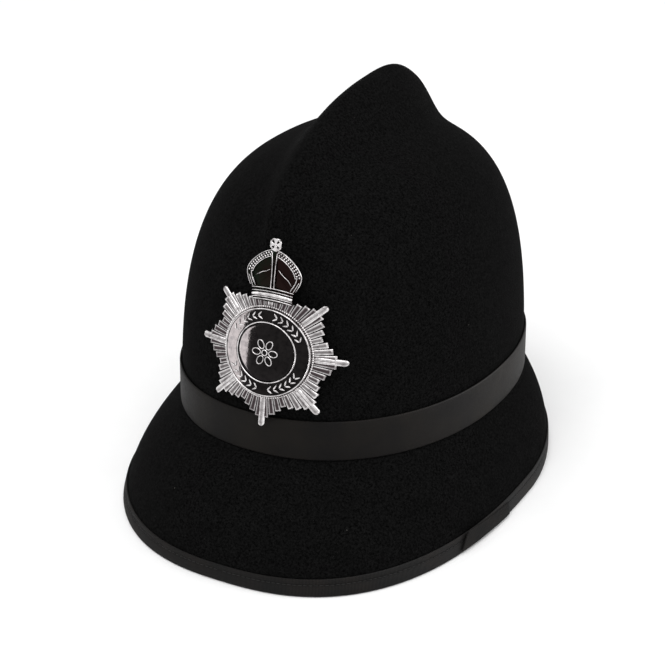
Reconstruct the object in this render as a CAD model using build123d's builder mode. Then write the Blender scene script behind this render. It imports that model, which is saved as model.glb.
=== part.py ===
from build123d import *
from math import atan2, copysign, cos, degrees, pi, radians, sin
import os

os.makedirs("parts", exist_ok=True)

# Driving dimensions, in millimetres: the helmet stands on its rim at height zero, front towards -Y
band_height = 50.2
crown_tilt_angle = 5.1
crown_half_width = 90.0
crown_front = 113.4
crown_back = 118.0
crown_height = 146.4
rim_half_width = 111.0
rim_front = 152.3
rim_back = 121.7

# Layers of the wall, from the outside in
felt_thickness = 1.6
stiffener_thickness = 2.0
lining_thickness = 0.6
layer_clearance = 0.1

# Shape of the ovals and of the crown's rounding towards its top
oval_power = 2.15
rim_front_power = 2.5
rim_back_power = 1.88
oval_steps = 16
width_powers = (2.7, 3.09)
front_powers = (2.47, 3.59)
back_powers = (4.0, 3.1)
crown_height_shares = (0.0, 0.25, 0.5, 0.7, 0.83, 0.92, 0.97, 0.996)
brim_mid_height_share = 0.45
brim_mid_flare_share = 0.81
dome_tolerance_share = 1e-4

# Comb: place along the crown, crest height and base half width, as shares of the crown
comb_shares = (
    (-0.917, 0.606, 0.041),
    (-0.884, 0.709, 0.078),
    (-0.840, 0.826, 0.129),
    (-0.766, 0.919, 0.193),
    (-0.590, 1.023, 0.285),
    (-0.346, 1.116, 0.359),
    (-0.107, 1.181, 0.400),
    (0.143, 1.207, 0.409),
    (0.396, 1.193, 0.377),
    (0.570, 1.113, 0.322),
    (0.723, 0.981, 0.239),
    (0.827, 0.835, 0.138),
)
comb_sink = 1.5
comb_foot_slope = 0.3
comb_flank_shares = ((0.62, 0.26), (0.34, 0.61))

# Edge binding: a tape folded round the rim, with its loose end on the wearer's left
binding_thickness = 0.8
binding_height = 10.3
binding_rest = 1.2
tail_length = 22.0
tail_angle = 65.0
tail_top_gap = 0.8
tail_low_gap = 1.4

# Hat band round the foot of the crown, and the lap that joins it at the back
hat_band_width = 23.0
hat_band_thickness = 1.0
hat_band_clearance = 0.2
hat_band_lift = 0.6
lap_length = 26.0
lap_edge = 0.8

# Head fitting inside: leather sweatband on foam spacers, and a foam pad under the crown
sweatband_inset = 9.5
sweatband_thickness = 1.4
sweatband_low = 1.0
sweatband_width = 35.0
sweatband_seam_length = 18.0
sweatband_seam_thickness = 0.7
spacer_count = 8
spacer_length = 38.0
spacer_low = 4.0
spacer_width = 26.0
spacer_clearance = 0.5
fitting_clearance = 0.3
pad_half_width = 46.0
pad_half_length = 60.0
pad_thickness = 16.0

# Helmet plate: a star, a ring, a boss and a crown, bowed round the front and a little wider than tall
badge_side = 8.1
badge_reach = 111.0
badge_height = 60.2
badge_tilt_angle = 10.8
badge_turn_angle = 2.3
bow_radius = 100.0
badge_depth = 24.0
badge_thickness = 1.0
ray_height = 0.9
star_fingers = 8
flutes_per_gap = 7
star_valley_radius = 32.2
star_point_radius = 38.8
finger_radius = 43.4
finger_width = 3.8
plate_height_share = 0.944
ray_start_radius = 23.2
ray_fill_share = 0.66
ring_radius = 25.2
ring_hole_radius = 16.8
ring_height = 2.0
ring_bead_width = 1.6
ring_bead_height = 0.8
boss_radius = 16.6
boss_height = 1.4
boss_dome_height = 1.6
badge_clearance = 0.1

# Crown of the helmet plate, in the plate's own plane, above the middle of the star
tiara_base = 27.3
tiara_band_top = 33.3
tiara_base_half_width = 12.2
tiara_half_width = 17.8
tiara_waist = 43.0
tiara_top = 56.0
tiara_plate_height = 1.0
tiara_arch_height = 1.4
tiara_low_window_shares = ((0.16, 0.10), (0.62, 0.10), (0.74, 0.36), (0.16, 0.52))
tiara_high_window_shares = ((0.16, 0.66), (0.76, 0.49), (0.62, 0.68), (0.34, 0.82), (0.16, 0.85))
tiara_tangents = ((1, 1), (0, 1), (-1, 0), (0, -1), (1, -1))
finial_size = 7.8
finial_bar_width = 3.0
finial_height = 2.2
finial_sink = 1.5

# Fixings of the helmet plate: two posts through the wall, with a washer and a nut each
post_diameter = 3.0
post_hole_diameter = 3.4
post_hole_length = 75.0
post_tip_length = 1.5
post_places = (-12.0, 22.0)
washer_diameter = 11.0
washer_depth = 9.4
nut_width = 5.5
nut_thickness = 2.4
nut_sides = 6

# Chin strap: a loop that turns on two studs, stowed under the brim against the sweatband
strap_inset = 6.0
strap_thickness = 1.8
strap_width = 14.0
strap_height = -10.0
strap_end_length = 8.5
stud_diameter = 4.0
stud_clearance = 0.16
stud_head_diameter = 8.0
stud_head_thickness = 1.4
stud_head_gap = 0.3
stud_depth = 2.5
anchor_length = 26.0
anchor_width = 15.0
anchor_gap = 0.8
anchor_reach = 14.0
rivet_diameter = 3.0
rivet_spacing = 16.0
rivet_hole_clearance = 0.2
tail_strap_gap = 0.2
tail_strap_angle = 50.0
tail_strap_length = 60.0
strap_cut_depth = 40.0
strap_step_angle = 1.0
slide_angle = 40.0
slide_length = 10.0
slide_wall = 1.0
slide_clearance = 0.5
keeper_angle = 60.0
keeper_length = 7.0
keeper_wall = 0.8
keeper_clearance = 0.15

# Helpers: a length for cuts, longer than anything that they cut, and plain angles
overrun = 300.0
back_angle = 180.0
full_turn = 360.0

wall_thickness = felt_thickness + stiffener_thickness + lining_thickness + 2 * layer_clearance
stiffener_inset = felt_thickness + layer_clearance
lining_inset = stiffener_inset + stiffener_thickness + layer_clearance

# The origin is the middle of the rim, and the head sits a little behind it under the longer front brim
head_place = (rim_front - rim_back) / 2


def tilted_plane(height, angle):
    """A plane over the middle of the head at a height, turned about the left-right axis, front up."""
    turn = radians(angle)
    return Plane(origin=(0, head_place, height), x_dir=(1, 0, 0), z_dir=(0, sin(turn), cos(turn)))


crown_plane = tilted_plane(band_height, crown_tilt_angle)
rim_plane = tilted_plane(0, 0)


# Superellipse powers of the ovals, in front and behind: a larger power makes a boxier outline
crown_powers = (oval_power, oval_power)
rim_powers = (rim_front_power, rim_back_power)
middle_powers = ((oval_power + rim_front_power) / 2, (oval_power + rim_back_power) / 2)


def oval_point(half_width, front, back, angle, powers=crown_powers):
    """A point of an egg-shaped oval, by the superellipse formula, at an angle from the back."""
    power = powers[1] if cos(angle) > 0 else powers[0]
    side = copysign(abs(sin(angle)) ** (2 / power), sin(angle))
    along = copysign(abs(cos(angle)) ** (2 / power), cos(angle))
    return (half_width * side, (back if along > 0 else front) * along)


def oval_outline(half_width, front, back, powers=crown_powers):
    """A filled oval, from points all round it, not yet on its plane."""
    angles = [2 * pi * step / oval_steps for step in range(oval_steps)]
    with BuildSketch() as outline:
        with BuildLine():
            Spline(*[oval_point(half_width, front, back, angle, powers) for angle in angles], periodic=True)
        make_face()
    return outline.sketch_local


def oval(plane, half_width, front, back, powers=crown_powers):
    """A filled oval on a plane."""
    with BuildSketch(plane) as section:
        add(oval_outline(half_width, front, back, powers))
    return section.sketch


def foot_outline(inset):
    """The crown's oval at its foot, drawn in by an inset, not yet on its plane."""
    return oval_outline(crown_half_width - inset, crown_front - inset, crown_back - inset)


def crown_band(inset, thickness, low, height):
    """A band round the foot of the crown, drawn in by an inset, between two heights along the crown."""
    with BuildPart() as band:
        with BuildSketch(crown_plane.offset(low)):
            add(foot_outline(inset))
            add(foot_outline(inset + thickness), mode=Mode.SUBTRACT)
        extrude(amount=height)
    return band.part


def rounding(share, powers):
    """How much of its foot size the crown keeps at a share of its height."""
    return (1 - share ** powers[0]) ** (1 / powers[1])


def crown_form(inset):
    """The dome of the crown as a solid, drawn in by an inset."""
    sections = []
    for share in crown_height_shares:
        plane = crown_plane.offset((crown_height - inset) * share)
        half_width = (crown_half_width - inset) * rounding(share, width_powers)
        front = (crown_front - inset) * rounding(share, front_powers)
        back = (crown_back - inset) * rounding(share, back_powers)
        sections.append(oval(plane, half_width, front, back))
    with BuildPart() as form:
        loft(sections)
    return form.part


def flared(foot, rim):
    """A size halfway down the brim, which bulges a little before it reaches the rim."""
    return foot + (rim - foot) * brim_mid_flare_share


def brim_form(inset):
    """The brim as a solid skirt from the foot of the crown to the rim, drawn in by an inset."""
    middle = tilted_plane(band_height * brim_mid_height_share, crown_tilt_angle * brim_mid_height_share)
    sections = [
        oval(crown_plane, crown_half_width - inset, crown_front - inset, crown_back - inset),
        oval(
            middle,
            flared(crown_half_width, rim_half_width) - inset,
            flared(crown_front, rim_front) - inset,
            flared(crown_back, rim_back) - inset,
            middle_powers,
        ),
        oval(rim_plane, rim_half_width - inset, rim_front - inset, rim_back - inset, rim_powers),
    ]
    with BuildPart() as form:
        loft(sections)
    return form.part


def dome_share(side_share, along_share):
    """Height of the dome's surface at a place, as a share of its height, by halving the interval."""
    powers = front_powers if along_share < 0 else back_powers
    low, high = 0.0, 1.0
    while high - low > dome_tolerance_share:
        middle = (low + high) / 2
        side = side_share / rounding(middle, width_powers)
        along = abs(along_share) / rounding(middle, powers)
        if side ** oval_power + along ** oval_power < 1:
            low = middle
        else:
            high = middle
    return low


def comb_form(inset):
    """The comb as a solid: bell-shaped sections across the crown, which run out into the dome."""
    sections = []
    for place_share, crest_share, width_share in comb_shares:
        reach = crown_front if place_share < 0 else crown_back
        place = (reach - inset) * place_share
        crest = crown_height * crest_share - inset
        base = (crown_height - inset) * dome_share(width_share, place_share) - comb_sink
        half_width = crown_half_width * width_share - inset
        flank = [(half_width * x, base + (crest - base) * z) for x, z in comb_flank_shares]
        left = [(-half_width, base)] + [(-x, z) for x, z in flank]
        right = [(x, z) for x, z in reversed(flank)] + [(half_width, base)]
        plane = Plane(
            origin=crown_plane.from_local_coords(Vector(0, place, 0)),
            x_dir=crown_plane.x_dir,
            z_dir=-crown_plane.y_dir,
        )
        with BuildSketch(plane) as section:
            with BuildLine():
                Spline(
                    *left, (0, crest), *right,
                    tangents=((1, comb_foot_slope), (1, -comb_foot_slope)),
                )
                Line((half_width, base), (-half_width, base))
            make_face()
        sections.append(section.sketch)
    with BuildPart() as form:
        loft(sections)
    return form.part


def above_level(height):
    """A block that holds everything above a level height."""
    with BuildPart(Plane.XY.offset(height)) as block:
        Box(overrun * 2, overrun * 2, overrun, align=(Align.CENTER, Align.CENTER, Align.MIN))
    return block.part


def spoke(plane, angle, length, low, height):
    """A block that reaches out from the middle of a plane, turned from the front to the wearer's left."""
    turn = radians(angle)
    outward = plane.x_dir * sin(turn) - plane.y_dir * cos(turn)
    across = Plane(origin=plane.offset(low).origin, x_dir=outward, z_dir=plane.z_dir)
    with BuildPart(across) as block:
        Box(overrun, length, height, align=(Align.MIN, Align.CENTER, Align.MIN))
    return block.part


# Plane of the helmet plate: its normal faces forward, a little up and to the wearer's left
badge_turn = radians(badge_turn_angle)
badge_tilt = radians(badge_tilt_angle)
badge_x = crown_plane.x_dir * cos(badge_turn) + crown_plane.y_dir * sin(badge_turn)
badge_flat = crown_plane.x_dir * sin(badge_turn) - crown_plane.y_dir * cos(badge_turn)
badge_out = badge_flat * cos(badge_tilt) + crown_plane.z_dir * sin(badge_tilt)
badge_plane = Plane(
    origin=crown_plane.from_local_coords(Vector(badge_side, -badge_reach, badge_height)),
    x_dir=badge_x,
    z_dir=badge_out,
)


def bowed(low, high):
    """A thin upright shell round the front of the crown, between two heights off the plate's back."""
    plane = Plane(
        origin=badge_plane.from_local_coords(Vector(0, -overrun / 2, 0)),
        x_dir=badge_plane.x_dir,
        z_dir=badge_plane.y_dir,
    )
    with BuildPart() as shell:
        with BuildSketch(plane):
            with Locations((0, bow_radius)):
                Circle(bow_radius + high)
                Circle(bow_radius + low, mode=Mode.SUBTRACT)
        extrude(amount=overrun)
    return shell.part


def badge_layer(sketch, low, high):
    """A flat outline of the helmet plate, made into a bowed layer between two heights."""
    with BuildPart() as layer:
        with BuildSketch(badge_plane):
            add(sketch)
        extrude(amount=badge_depth, both=True)
        add(bowed(low, high), mode=Mode.INTERSECT)
    return layer.part


def polar_point(radius, angle):
    """A point at a radius and an angle in degrees from the top of the star, which is slightly flattened."""
    return (radius * sin(radians(angle)), plate_height_share * radius * cos(radians(angle)))


def star_oval(radius, mode=Mode.ADD):
    """A round outline of the star, as flattened as the star is."""
    return Ellipse(radius, radius * plate_height_share, mode=mode)


def finger(start, angle):
    """A round-ended finger of the star, from a radius outwards at an angle from the top."""
    inner = Vector(*polar_point(start, angle))
    outer = Vector(*polar_point(finger_radius - finger_width / 2, angle))
    reach = outer - inner
    with Locations((inner + outer) / 2):
        SlotCenterToCenter(reach.length, finger_width, rotation=degrees(atan2(reach.Y, reach.X)))


def post_bars(diameter, top, length):
    """Two round bars square to the helmet plate, from a height above its back inwards."""
    with BuildPart(badge_plane.offset(top)) as bars:
        with Locations(*[(0, place) for place in post_places]):
            Cylinder(diameter / 2, length, align=(Align.CENTER, Align.CENTER, Align.MAX))
    return bars.part


def side_bar(side, along, diameter, start, length):
    """A round bar along the left-right axis at the strap's height, from a start outwards."""
    origin = crown_plane.from_local_coords(Vector(side * start, along, strap_height))
    with BuildPart(Plane(origin=origin, x_dir=crown_plane.y_dir, z_dir=(side, 0, 0))) as bar:
        Cylinder(diameter / 2, length, align=(Align.CENTER, Align.CENTER, Align.MIN))
    return bar.part


def rivet_bars(diameter):
    """Round bars in the places of the anchors' rivets, from the anchors' faces outwards."""
    with BuildPart() as bars:
        for side in (-1, 1):
            for along in (-rivet_spacing / 2, rivet_spacing / 2):
                add(side_bar(side, along, diameter, anchor_face, anchor_reach))
    return bars.part


def binding_room():
    """The space inside the folded binding: the wall at the rim, a clearance wider."""
    with BuildPart() as room:
        add(brim_form(-layer_clearance))
        add(brim_form(wall_thickness + layer_clearance), mode=Mode.SUBTRACT)
        add(above_level(binding_rest - layer_clearance), mode=Mode.INTERSECT)
    return room.part


def spacer(angle):
    """One foam spacer, turned from the front to the wearer's left."""
    with BuildPart() as pad:
        add(crown_band(spacer_outer, spacer_thickness, spacer_low, spacer_width))
        add(spoke(crown_plane, angle, spacer_length, 0, overrun), mode=Mode.INTERSECT)
    return pad.part


def strap_plane(angle, low):
    """A level plane on the strap at an angle from the front, its x direction along the strap."""
    inset = strap_inset + strap_thickness
    ends = []
    for turn in (angle - strap_step_angle, angle + strap_step_angle):
        place = oval_point(
            crown_half_width - inset,
            crown_front - inset,
            crown_back - inset,
            radians(back_angle - turn),
        )
        ends.append(Vector(*place))
    middle = (ends[0] + ends[1]) / 2
    along = (ends[1] - ends[0]).normalized()
    return Plane(
        origin=crown_plane.offset(low).from_local_coords(middle),
        x_dir=crown_plane.x_dir * along.X + crown_plane.y_dir * along.Y,
        z_dir=crown_plane.z_dir,
    )


def strap_cut(angle, length):
    """A block across the strap at an angle from the front."""
    with BuildPart() as block:
        with BuildSketch(strap_plane(angle, -overrun / 2)):
            Rectangle(length, strap_cut_depth)
        extrude(amount=overrun)
    return block.part


def strap_loop(angle, length, wall, clearance):
    """A flat loop round both layers of the strap, square to the wearer's left front."""
    layers = 2 * strap_thickness + tail_strap_gap
    with BuildPart() as loop:
        for room, mode in ((clearance + wall, Mode.ADD), (clearance, Mode.SUBTRACT)):
            add(
                crown_band(strap_inset - room, layers + 2 * room, strap_low - room, strap_width + 2 * room),
                mode=mode,
            )
        add(strap_cut(angle, length), mode=Mode.INTERSECT)
    return loop.part


def save(part, name):
    """Label a finished piece and write it to its own file."""
    part.label = name
    export_step(part, f"parts/{name}.step")


# Whole forms that the layers are cut from
outer_crown = crown_form(0)
outer_brim = brim_form(0)
felt_inner_crown = crown_form(felt_thickness)
felt_inner_brim = brim_form(felt_thickness)
lining_outer_crown = crown_form(lining_inset)
lining_outer_brim = brim_form(lining_inset)
cavity_crown = crown_form(wall_thickness)
cavity_brim = brim_form(wall_thickness)
binding_opening = above_level(binding_rest)

strap_outer_side = crown_half_width - strap_inset
strap_inner_side = strap_outer_side - strap_thickness
anchor_face = strap_outer_side + anchor_gap

# Felt cover: one wool felt skin over the crown, the comb and the brim
with BuildPart() as felt_cover:
    add(outer_crown)
    add(outer_brim)
    add(comb_form(0))
    add(felt_inner_crown, mode=Mode.SUBTRACT)
    add(felt_inner_brim, mode=Mode.SUBTRACT)
    add(comb_form(felt_thickness), mode=Mode.SUBTRACT)
    add(binding_opening, mode=Mode.INTERSECT)
    add(post_bars(post_hole_diameter, badge_depth, post_hole_length), mode=Mode.SUBTRACT)
save(felt_cover.part, "felt_cover")

# Stiffener: the moulded shell that carries everything
with BuildPart() as stiffener_shell:
    add(crown_form(stiffener_inset))
    add(brim_form(stiffener_inset))
    add(crown_form(stiffener_inset + stiffener_thickness), mode=Mode.SUBTRACT)
    add(brim_form(stiffener_inset + stiffener_thickness), mode=Mode.SUBTRACT)
    add(binding_opening, mode=Mode.INTERSECT)
    add(post_bars(post_hole_diameter, badge_depth, post_hole_length), mode=Mode.SUBTRACT)
    add(rivet_bars(rivet_diameter + rivet_hole_clearance), mode=Mode.SUBTRACT)
save(stiffener_shell.part, "stiffener_shell")

# Comb core: the light former that sits on the stiffener and fills the felt comb
with BuildPart() as comb_core:
    add(comb_form(felt_thickness + fitting_clearance))
    add(felt_inner_crown, mode=Mode.SUBTRACT)
save(comb_core.part, "comb_core")

# Crown lining, glued inside the stiffener
with BuildPart() as crown_lining:
    add(lining_outer_crown)
    add(cavity_crown, mode=Mode.SUBTRACT)
    add(post_bars(post_hole_diameter, badge_depth, post_hole_length), mode=Mode.SUBTRACT)
save(crown_lining.part, "crown_lining")

# Brim lining, under the brim
with BuildPart() as brim_lining:
    add(lining_outer_brim)
    add(cavity_brim, mode=Mode.SUBTRACT)
    add(binding_opening, mode=Mode.INTERSECT)
    add(rivet_bars(rivet_diameter + rivet_hole_clearance), mode=Mode.SUBTRACT)
save(brim_lining.part, "brim_lining")

# Edge binding: a tape folded round the rim, which the helmet stands on
binding_outer = layer_clearance + binding_thickness
with BuildPart() as edge_binding:
    add(brim_form(-binding_outer))
    add(brim_form(wall_thickness + binding_outer), mode=Mode.SUBTRACT)
    add(above_level(binding_height), mode=Mode.SUBTRACT)
    add(binding_room(), mode=Mode.SUBTRACT)
save(edge_binding.part, "edge_binding")

# Loose end of the binding, folded and sewn down over its start
tail_room = binding_outer + layer_clearance
with BuildPart() as binding_tail:
    add(brim_form(-tail_room - binding_thickness))
    add(brim_form(-tail_room), mode=Mode.SUBTRACT)
    add(
        spoke(rim_plane, tail_angle, tail_length, tail_low_gap, binding_height - tail_low_gap - tail_top_gap),
        mode=Mode.INTERSECT,
    )
save(binding_tail.part, "binding_tail")

# Hat band: a plain smooth ribbon round the foot of the crown
band_outset = hat_band_clearance + hat_band_thickness
with BuildPart() as hat_band:
    add(crown_band(-band_outset, hat_band_thickness, hat_band_lift, hat_band_width))
save(hat_band.part, "hat_band")

# Lap at the back that joins the two ends of the hat band
lap_outset = band_outset + layer_clearance + hat_band_thickness
with BuildPart() as hat_band_lap:
    add(crown_band(-lap_outset, hat_band_thickness, hat_band_lift + lap_edge, hat_band_width - 2 * lap_edge))
    add(spoke(crown_plane, 180, lap_length, 0, overrun), mode=Mode.INTERSECT)
save(hat_band_lap.part, "hat_band_lap")

# Sweatband: the leather ring that the head fits into
with BuildPart() as sweatband:
    add(crown_band(sweatband_inset, sweatband_thickness, sweatband_low, sweatband_width))
save(sweatband.part, "sweatband")

# Seam tape over the sweatband's joint at the back, on its outer side
seam_inset = sweatband_inset - layer_clearance - sweatband_seam_thickness
with BuildPart() as sweatband_seam:
    add(crown_band(seam_inset, sweatband_seam_thickness, sweatband_low, sweatband_width))
    add(spoke(crown_plane, 180, sweatband_seam_length, 0, overrun), mode=Mode.INTERSECT)
save(sweatband_seam.part, "sweatband_seam")

# Foam spacers that hold the sweatband off the shell and leave air between
spacer_outer = wall_thickness + spacer_clearance
spacer_thickness = sweatband_inset - fitting_clearance - spacer_outer
with BuildPart() as spacer_pads:
    for index in range(spacer_count):
        add(spacer(full_turn * (index + 1 / 2) / spacer_count))
    add(crown_form(spacer_outer), mode=Mode.INTERSECT)
save(spacer_pads.part, "spacer_pads")

# Foam pad under the top of the crown, with the dome's own curve above
pad_low = crown_height - wall_thickness - fitting_clearance - pad_thickness
with BuildPart() as crown_pad:
    with BuildSketch(crown_plane.offset(pad_low)):
        Ellipse(pad_half_width, pad_half_length)
    extrude(amount=overrun)
    add(crown_form(wall_thickness + fitting_clearance), mode=Mode.INTERSECT)
save(crown_pad.part, "crown_pad")

# Star plate: fluted rays with stepped ends, and eight round-ended fingers
finger_step = full_turn / star_fingers
flute_step = finger_step / flutes_per_gap
star_outline = []
ray_wedges = []
for index in range(star_fingers):
    for flute in range(flutes_per_gap):
        middle = index * finger_step + (flute + 1 / 2) * flute_step
        away = abs(2 * (flute + 1 / 2) / flutes_per_gap - 1)
        reach = star_valley_radius + (star_point_radius - star_valley_radius) * away
        half = flute_step / 2
        star_outline.append(polar_point(reach, middle - half))
        if flute < flutes_per_gap - 1:
            star_outline.append(polar_point(reach, middle + half))
        thin = half * ray_fill_share
        ray_wedges.append([
            polar_point(ray_start_radius, middle - thin),
            polar_point(ray_start_radius, middle + thin),
            polar_point(reach, middle + thin),
            polar_point(reach, middle - thin),
        ])
with BuildSketch() as star_sketch:
    with BuildLine():
        Polyline(*star_outline, close=True)
    make_face()
    for index in range(star_fingers):
        finger(0, index * finger_step)
with BuildSketch() as ray_sketch:
    for wedge in ray_wedges:
        with BuildLine():
            Polyline(*wedge, close=True)
        make_face()
with BuildSketch() as finger_sketch:
    for index in range(1, star_fingers):
        finger(ray_start_radius, index * finger_step)
with BuildSketch() as seat_sketch:
    star_oval(ring_radius + badge_clearance)
with BuildPart() as star_plate:
    add(badge_layer(star_sketch.sketch_local, 0, badge_thickness))
    add(badge_layer(ray_sketch.sketch_local, badge_thickness / 2, badge_thickness + ray_height))
    add(badge_layer(finger_sketch.sketch_local, badge_thickness / 2, badge_thickness + ray_height))
    add(badge_layer(seat_sketch.sketch_local, badge_thickness, badge_depth), mode=Mode.SUBTRACT)
save(star_plate.part, "star_plate")

# Ring round the middle of the star, with a raised bead at both edges
with BuildSketch() as ring_sketch:
    star_oval(ring_radius)
    star_oval(ring_hole_radius, Mode.SUBTRACT)
with BuildSketch() as bead_sketch:
    star_oval(ring_radius)
    star_oval(ring_radius - ring_bead_width, Mode.SUBTRACT)
    star_oval(ring_hole_radius + ring_bead_width)
    star_oval(ring_hole_radius, Mode.SUBTRACT)
ring_top = badge_thickness + badge_clearance + ring_height
with BuildPart() as star_ring:
    add(badge_layer(ring_sketch.sketch_local, badge_thickness + badge_clearance, ring_top))
    add(badge_layer(bead_sketch.sketch_local, badge_thickness + badge_clearance, ring_top + ring_bead_height))
save(star_ring.part, "star_ring")

# Boss: the plain domed disc in the middle of the ring
boss_low = badge_thickness + badge_clearance
boss_top = boss_low + boss_height + boss_dome_height
boss_sphere_radius = (boss_radius ** 2 + boss_dome_height ** 2) / (2 * boss_dome_height)
with BuildSketch() as boss_sketch:
    star_oval(boss_radius)
with BuildPart(badge_plane.offset(boss_top - boss_sphere_radius)) as boss_dome:
    Sphere(boss_sphere_radius)
with BuildPart() as star_boss:
    add(badge_layer(boss_sketch.sketch_local, boss_low, boss_top))
    add(boss_dome.part, mode=Mode.INTERSECT)
save(star_boss.part, "star_boss")

# Crown above the star: a plate with raised arches, open between them, and a cross on top
tiara_height = tiara_top - tiara_band_top
low_left = (-tiara_base_half_width, tiara_base)
low_right = (tiara_base_half_width, tiara_base)
band_left = (-tiara_base_half_width, tiara_band_top)
band_right = (tiara_base_half_width, tiara_band_top)
with BuildSketch() as tiara_sketch:
    with BuildLine():
        Polyline(band_left, low_left, low_right, band_right)
        Spline(
            band_right,
            (tiara_half_width, tiara_waist),
            (0, tiara_top),
            (-tiara_half_width, tiara_waist),
            band_left,
            tangents=tiara_tangents,
        )
    make_face()
with BuildSketch() as arch_sketch:
    add(tiara_sketch.sketch_local)
    for side in (-tiara_half_width, tiara_half_width):
        for shares in (tiara_low_window_shares, tiara_high_window_shares):
            with BuildLine():
                Polyline(*[(side * x, tiara_band_top + z * tiara_height) for x, z in shares], close=True)
            make_face(mode=Mode.SUBTRACT)
with BuildSketch() as finial_sketch:
    with Locations((0, tiara_top + finial_size / 2 - finial_sink)):
        Rectangle(finial_bar_width, finial_size)
        Rectangle(finial_size, finial_bar_width)
tiara_low = badge_thickness + ray_height + badge_clearance
tiara_mid = tiara_low + tiara_plate_height
with BuildPart() as badge_crown:
    add(badge_layer(tiara_sketch.sketch_local, tiara_low, tiara_mid))
    add(badge_layer(arch_sketch.sketch_local, tiara_low, tiara_mid + tiara_arch_height))
    add(badge_layer(finial_sketch.sketch_local, tiara_low, tiara_low + finial_height))
save(badge_crown.part, "badge_crown")

# Screw posts brazed to the back of the plate
post_length = washer_depth + nut_thickness + post_tip_length
with BuildPart() as badge_posts:
    add(post_bars(post_diameter, -badge_clearance / 2, post_length))
save(badge_posts.part, "badge_posts")

# Washers inside the wall, shaped to the lining on one side
washer_room = crown_form(wall_thickness + layer_clearance)
with BuildPart() as badge_washers:
    add(post_bars(washer_diameter, 0, washer_depth))
    add(washer_room, mode=Mode.INTERSECT)
    add(post_bars(post_hole_diameter, 0, post_hole_length), mode=Mode.SUBTRACT)
save(badge_washers.part, "badge_washers")

# Hexagonal nuts on the posts
with BuildPart() as badge_nuts:
    with BuildSketch(badge_plane.offset(-washer_depth)):
        with Locations(*[(0, place) for place in post_places]):
            RegularPolygon(nut_width / 2, nut_sides, major_radius=False)
            Circle(post_diameter / 2, mode=Mode.SUBTRACT)
    extrude(amount=-nut_thickness)
save(badge_nuts.part, "badge_nuts")

# Chin strap: a leather loop in front, from stud to stud
strap_low = strap_height - strap_width / 2
stud_start = strap_inner_side - strap_thickness
with BuildPart(crown_plane.offset(-overrun / 2)) as front_half:
    with Locations((0, strap_end_length)):
        Box(overrun, overrun, overrun, align=(Align.CENTER, Align.MAX, Align.MIN))
with BuildPart() as chin_strap:
    add(crown_band(strap_inset, strap_thickness, strap_low, strap_width))
    add(front_half.part, mode=Mode.INTERSECT)
    for side in (-1, 1):
        add(side_bar(side, 0, stud_diameter + stud_clearance, stud_start, anchor_reach), mode=Mode.SUBTRACT)
save(chin_strap.part, "chin_strap")

# End of the strap, doubled back along its inside on the wearer's left
tail_inset = strap_inset + strap_thickness + tail_strap_gap
with BuildPart() as strap_tail:
    add(crown_band(tail_inset, strap_thickness, strap_low, strap_width))
    add(strap_cut(tail_strap_angle, tail_strap_length), mode=Mode.INTERSECT)
save(strap_tail.part, "strap_tail")

# Metal slide that sets the strap's length, and the leather keeper for its loose end
strap_slide = strap_loop(slide_angle, slide_length, slide_wall, slide_clearance)
save(strap_slide, "strap_slide")
strap_keeper = strap_loop(keeper_angle, keeper_length, keeper_wall, keeper_clearance)
save(strap_keeper, "strap_keeper")

# Studs, anchors and rivets: the left and right ones are alike
anchor_room = brim_form(wall_thickness + layer_clearance)
hole_depth = stud_depth + layer_clearance
stud_hole_diameter = stud_diameter + rivet_hole_clearance
head_start = strap_inner_side - stud_head_gap - stud_head_thickness
for side, name in ((-1, "right"), (1, "left")):
    middle = crown_plane.from_local_coords(Vector(side * anchor_face, 0, strap_height))
    with BuildPart() as anchor:
        with BuildSketch(Plane(origin=middle, x_dir=crown_plane.y_dir, z_dir=(side, 0, 0))):
            Rectangle(anchor_length, anchor_width)
        extrude(amount=anchor_reach)
        add(anchor_room, mode=Mode.INTERSECT)
        add(side_bar(side, 0, stud_hole_diameter, anchor_face, hole_depth), mode=Mode.SUBTRACT)
        add(rivet_bars(rivet_diameter + rivet_hole_clearance), mode=Mode.SUBTRACT)
    save(anchor.part, f"strap_anchor_{name}")
    with BuildPart() as stud:
        add(side_bar(side, 0, stud_diameter, head_start, anchor_face + stud_depth - head_start))
        add(side_bar(side, 0, stud_head_diameter, head_start, stud_head_thickness))
    save(stud.part, f"strap_stud_{name}")

# Rivets that hold the anchors to the stiffener, their heads flush and their ends under the felt
rivet_room = brim_form(stiffener_inset + layer_clearance)
with BuildPart() as anchor_rivets:
    add(rivet_bars(rivet_diameter))
    add(rivet_room, mode=Mode.INTERSECT)
save(anchor_rivets.part, "anchor_rivets")
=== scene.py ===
import math

import bpy
import numpy as np
from mathutils import Matrix


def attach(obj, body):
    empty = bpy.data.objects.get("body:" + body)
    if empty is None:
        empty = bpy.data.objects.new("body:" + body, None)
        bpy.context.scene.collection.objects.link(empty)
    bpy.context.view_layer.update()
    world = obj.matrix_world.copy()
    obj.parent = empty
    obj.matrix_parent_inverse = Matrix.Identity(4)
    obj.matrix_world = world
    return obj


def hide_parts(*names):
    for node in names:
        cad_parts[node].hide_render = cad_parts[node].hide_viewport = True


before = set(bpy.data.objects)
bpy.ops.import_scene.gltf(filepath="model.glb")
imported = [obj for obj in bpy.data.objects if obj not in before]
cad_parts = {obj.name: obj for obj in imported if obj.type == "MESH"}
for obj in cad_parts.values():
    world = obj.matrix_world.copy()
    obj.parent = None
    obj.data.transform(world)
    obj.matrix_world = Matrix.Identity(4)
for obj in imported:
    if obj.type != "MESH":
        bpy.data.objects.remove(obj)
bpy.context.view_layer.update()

# Camera: the photograph's viewpoint, from the helmet's left front and a little above, found by fitting
# the outline and the front plate's eight points. Lengths in this file are in millimetres until a mesh
# or an object is made from them.
crown_middle = 15.3


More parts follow.
